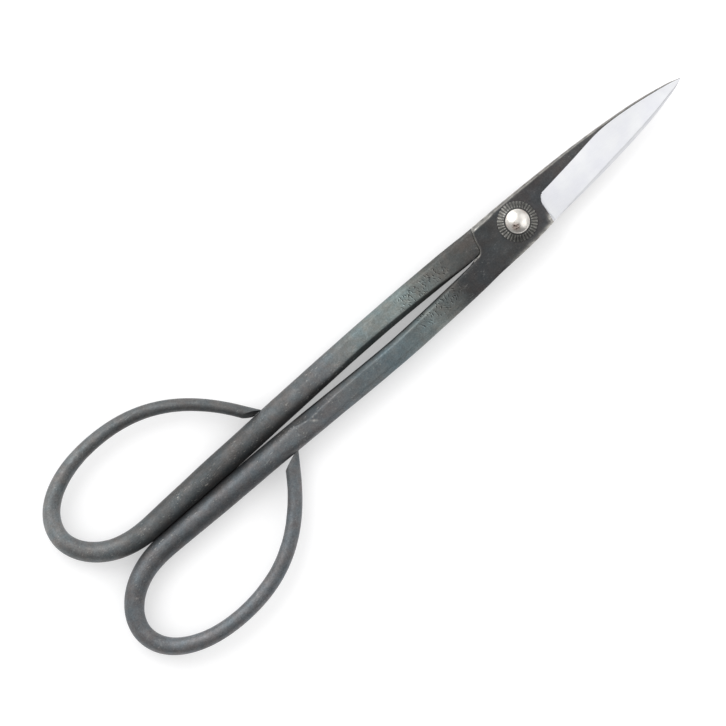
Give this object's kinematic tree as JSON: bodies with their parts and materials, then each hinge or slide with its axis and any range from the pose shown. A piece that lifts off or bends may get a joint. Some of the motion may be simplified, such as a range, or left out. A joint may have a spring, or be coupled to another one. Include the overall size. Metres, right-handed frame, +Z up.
{
  "type": "floral snips",
  "caption": "Long-handled forged floral snips: two halves with narrow pointed blades and teardrop finger bows turn on a domed rivet with fluted washers.",
  "frame": {"origin": "on the rivet's axis, on the small flat face of its tail, the lowest point of the snips as they lie", "axes": "+X from the pivot to the blade tips, +Z up through the rivet towards its domed head, +Y towards the rear half's handle"},
  "size_m": [0.21, 0.066, 0.0121],
  "materials": {
    "forged_steel": "black forge scale with grey-green heat tint and light scuffs; the blades' outer faces are ground bright and satin",
    "rivet_steel": "polished bright dome, slightly dented",
    "washer_steel": "blackened, worn grey on the crests of the flutes"
  },
  "bodies": {
    "front_half": {"front_blade_and_handle": "forged_steel", "pivot_rivet": "rivet_steel", "front_washer": "washer_steel", "rear_washer": "washer_steel"},
    "rear_half": {"rear_blade_and_handle": "forged_steel"}
  },
  "joints": [
    {"name": "blade_pivot", "type": "hinge", "parent": "front_half", "child": "rear_half", "pos_m": [0, 0, 0.00555], "axis": [0, 0, -1], "range_deg": [0, 90]}
  ]
}
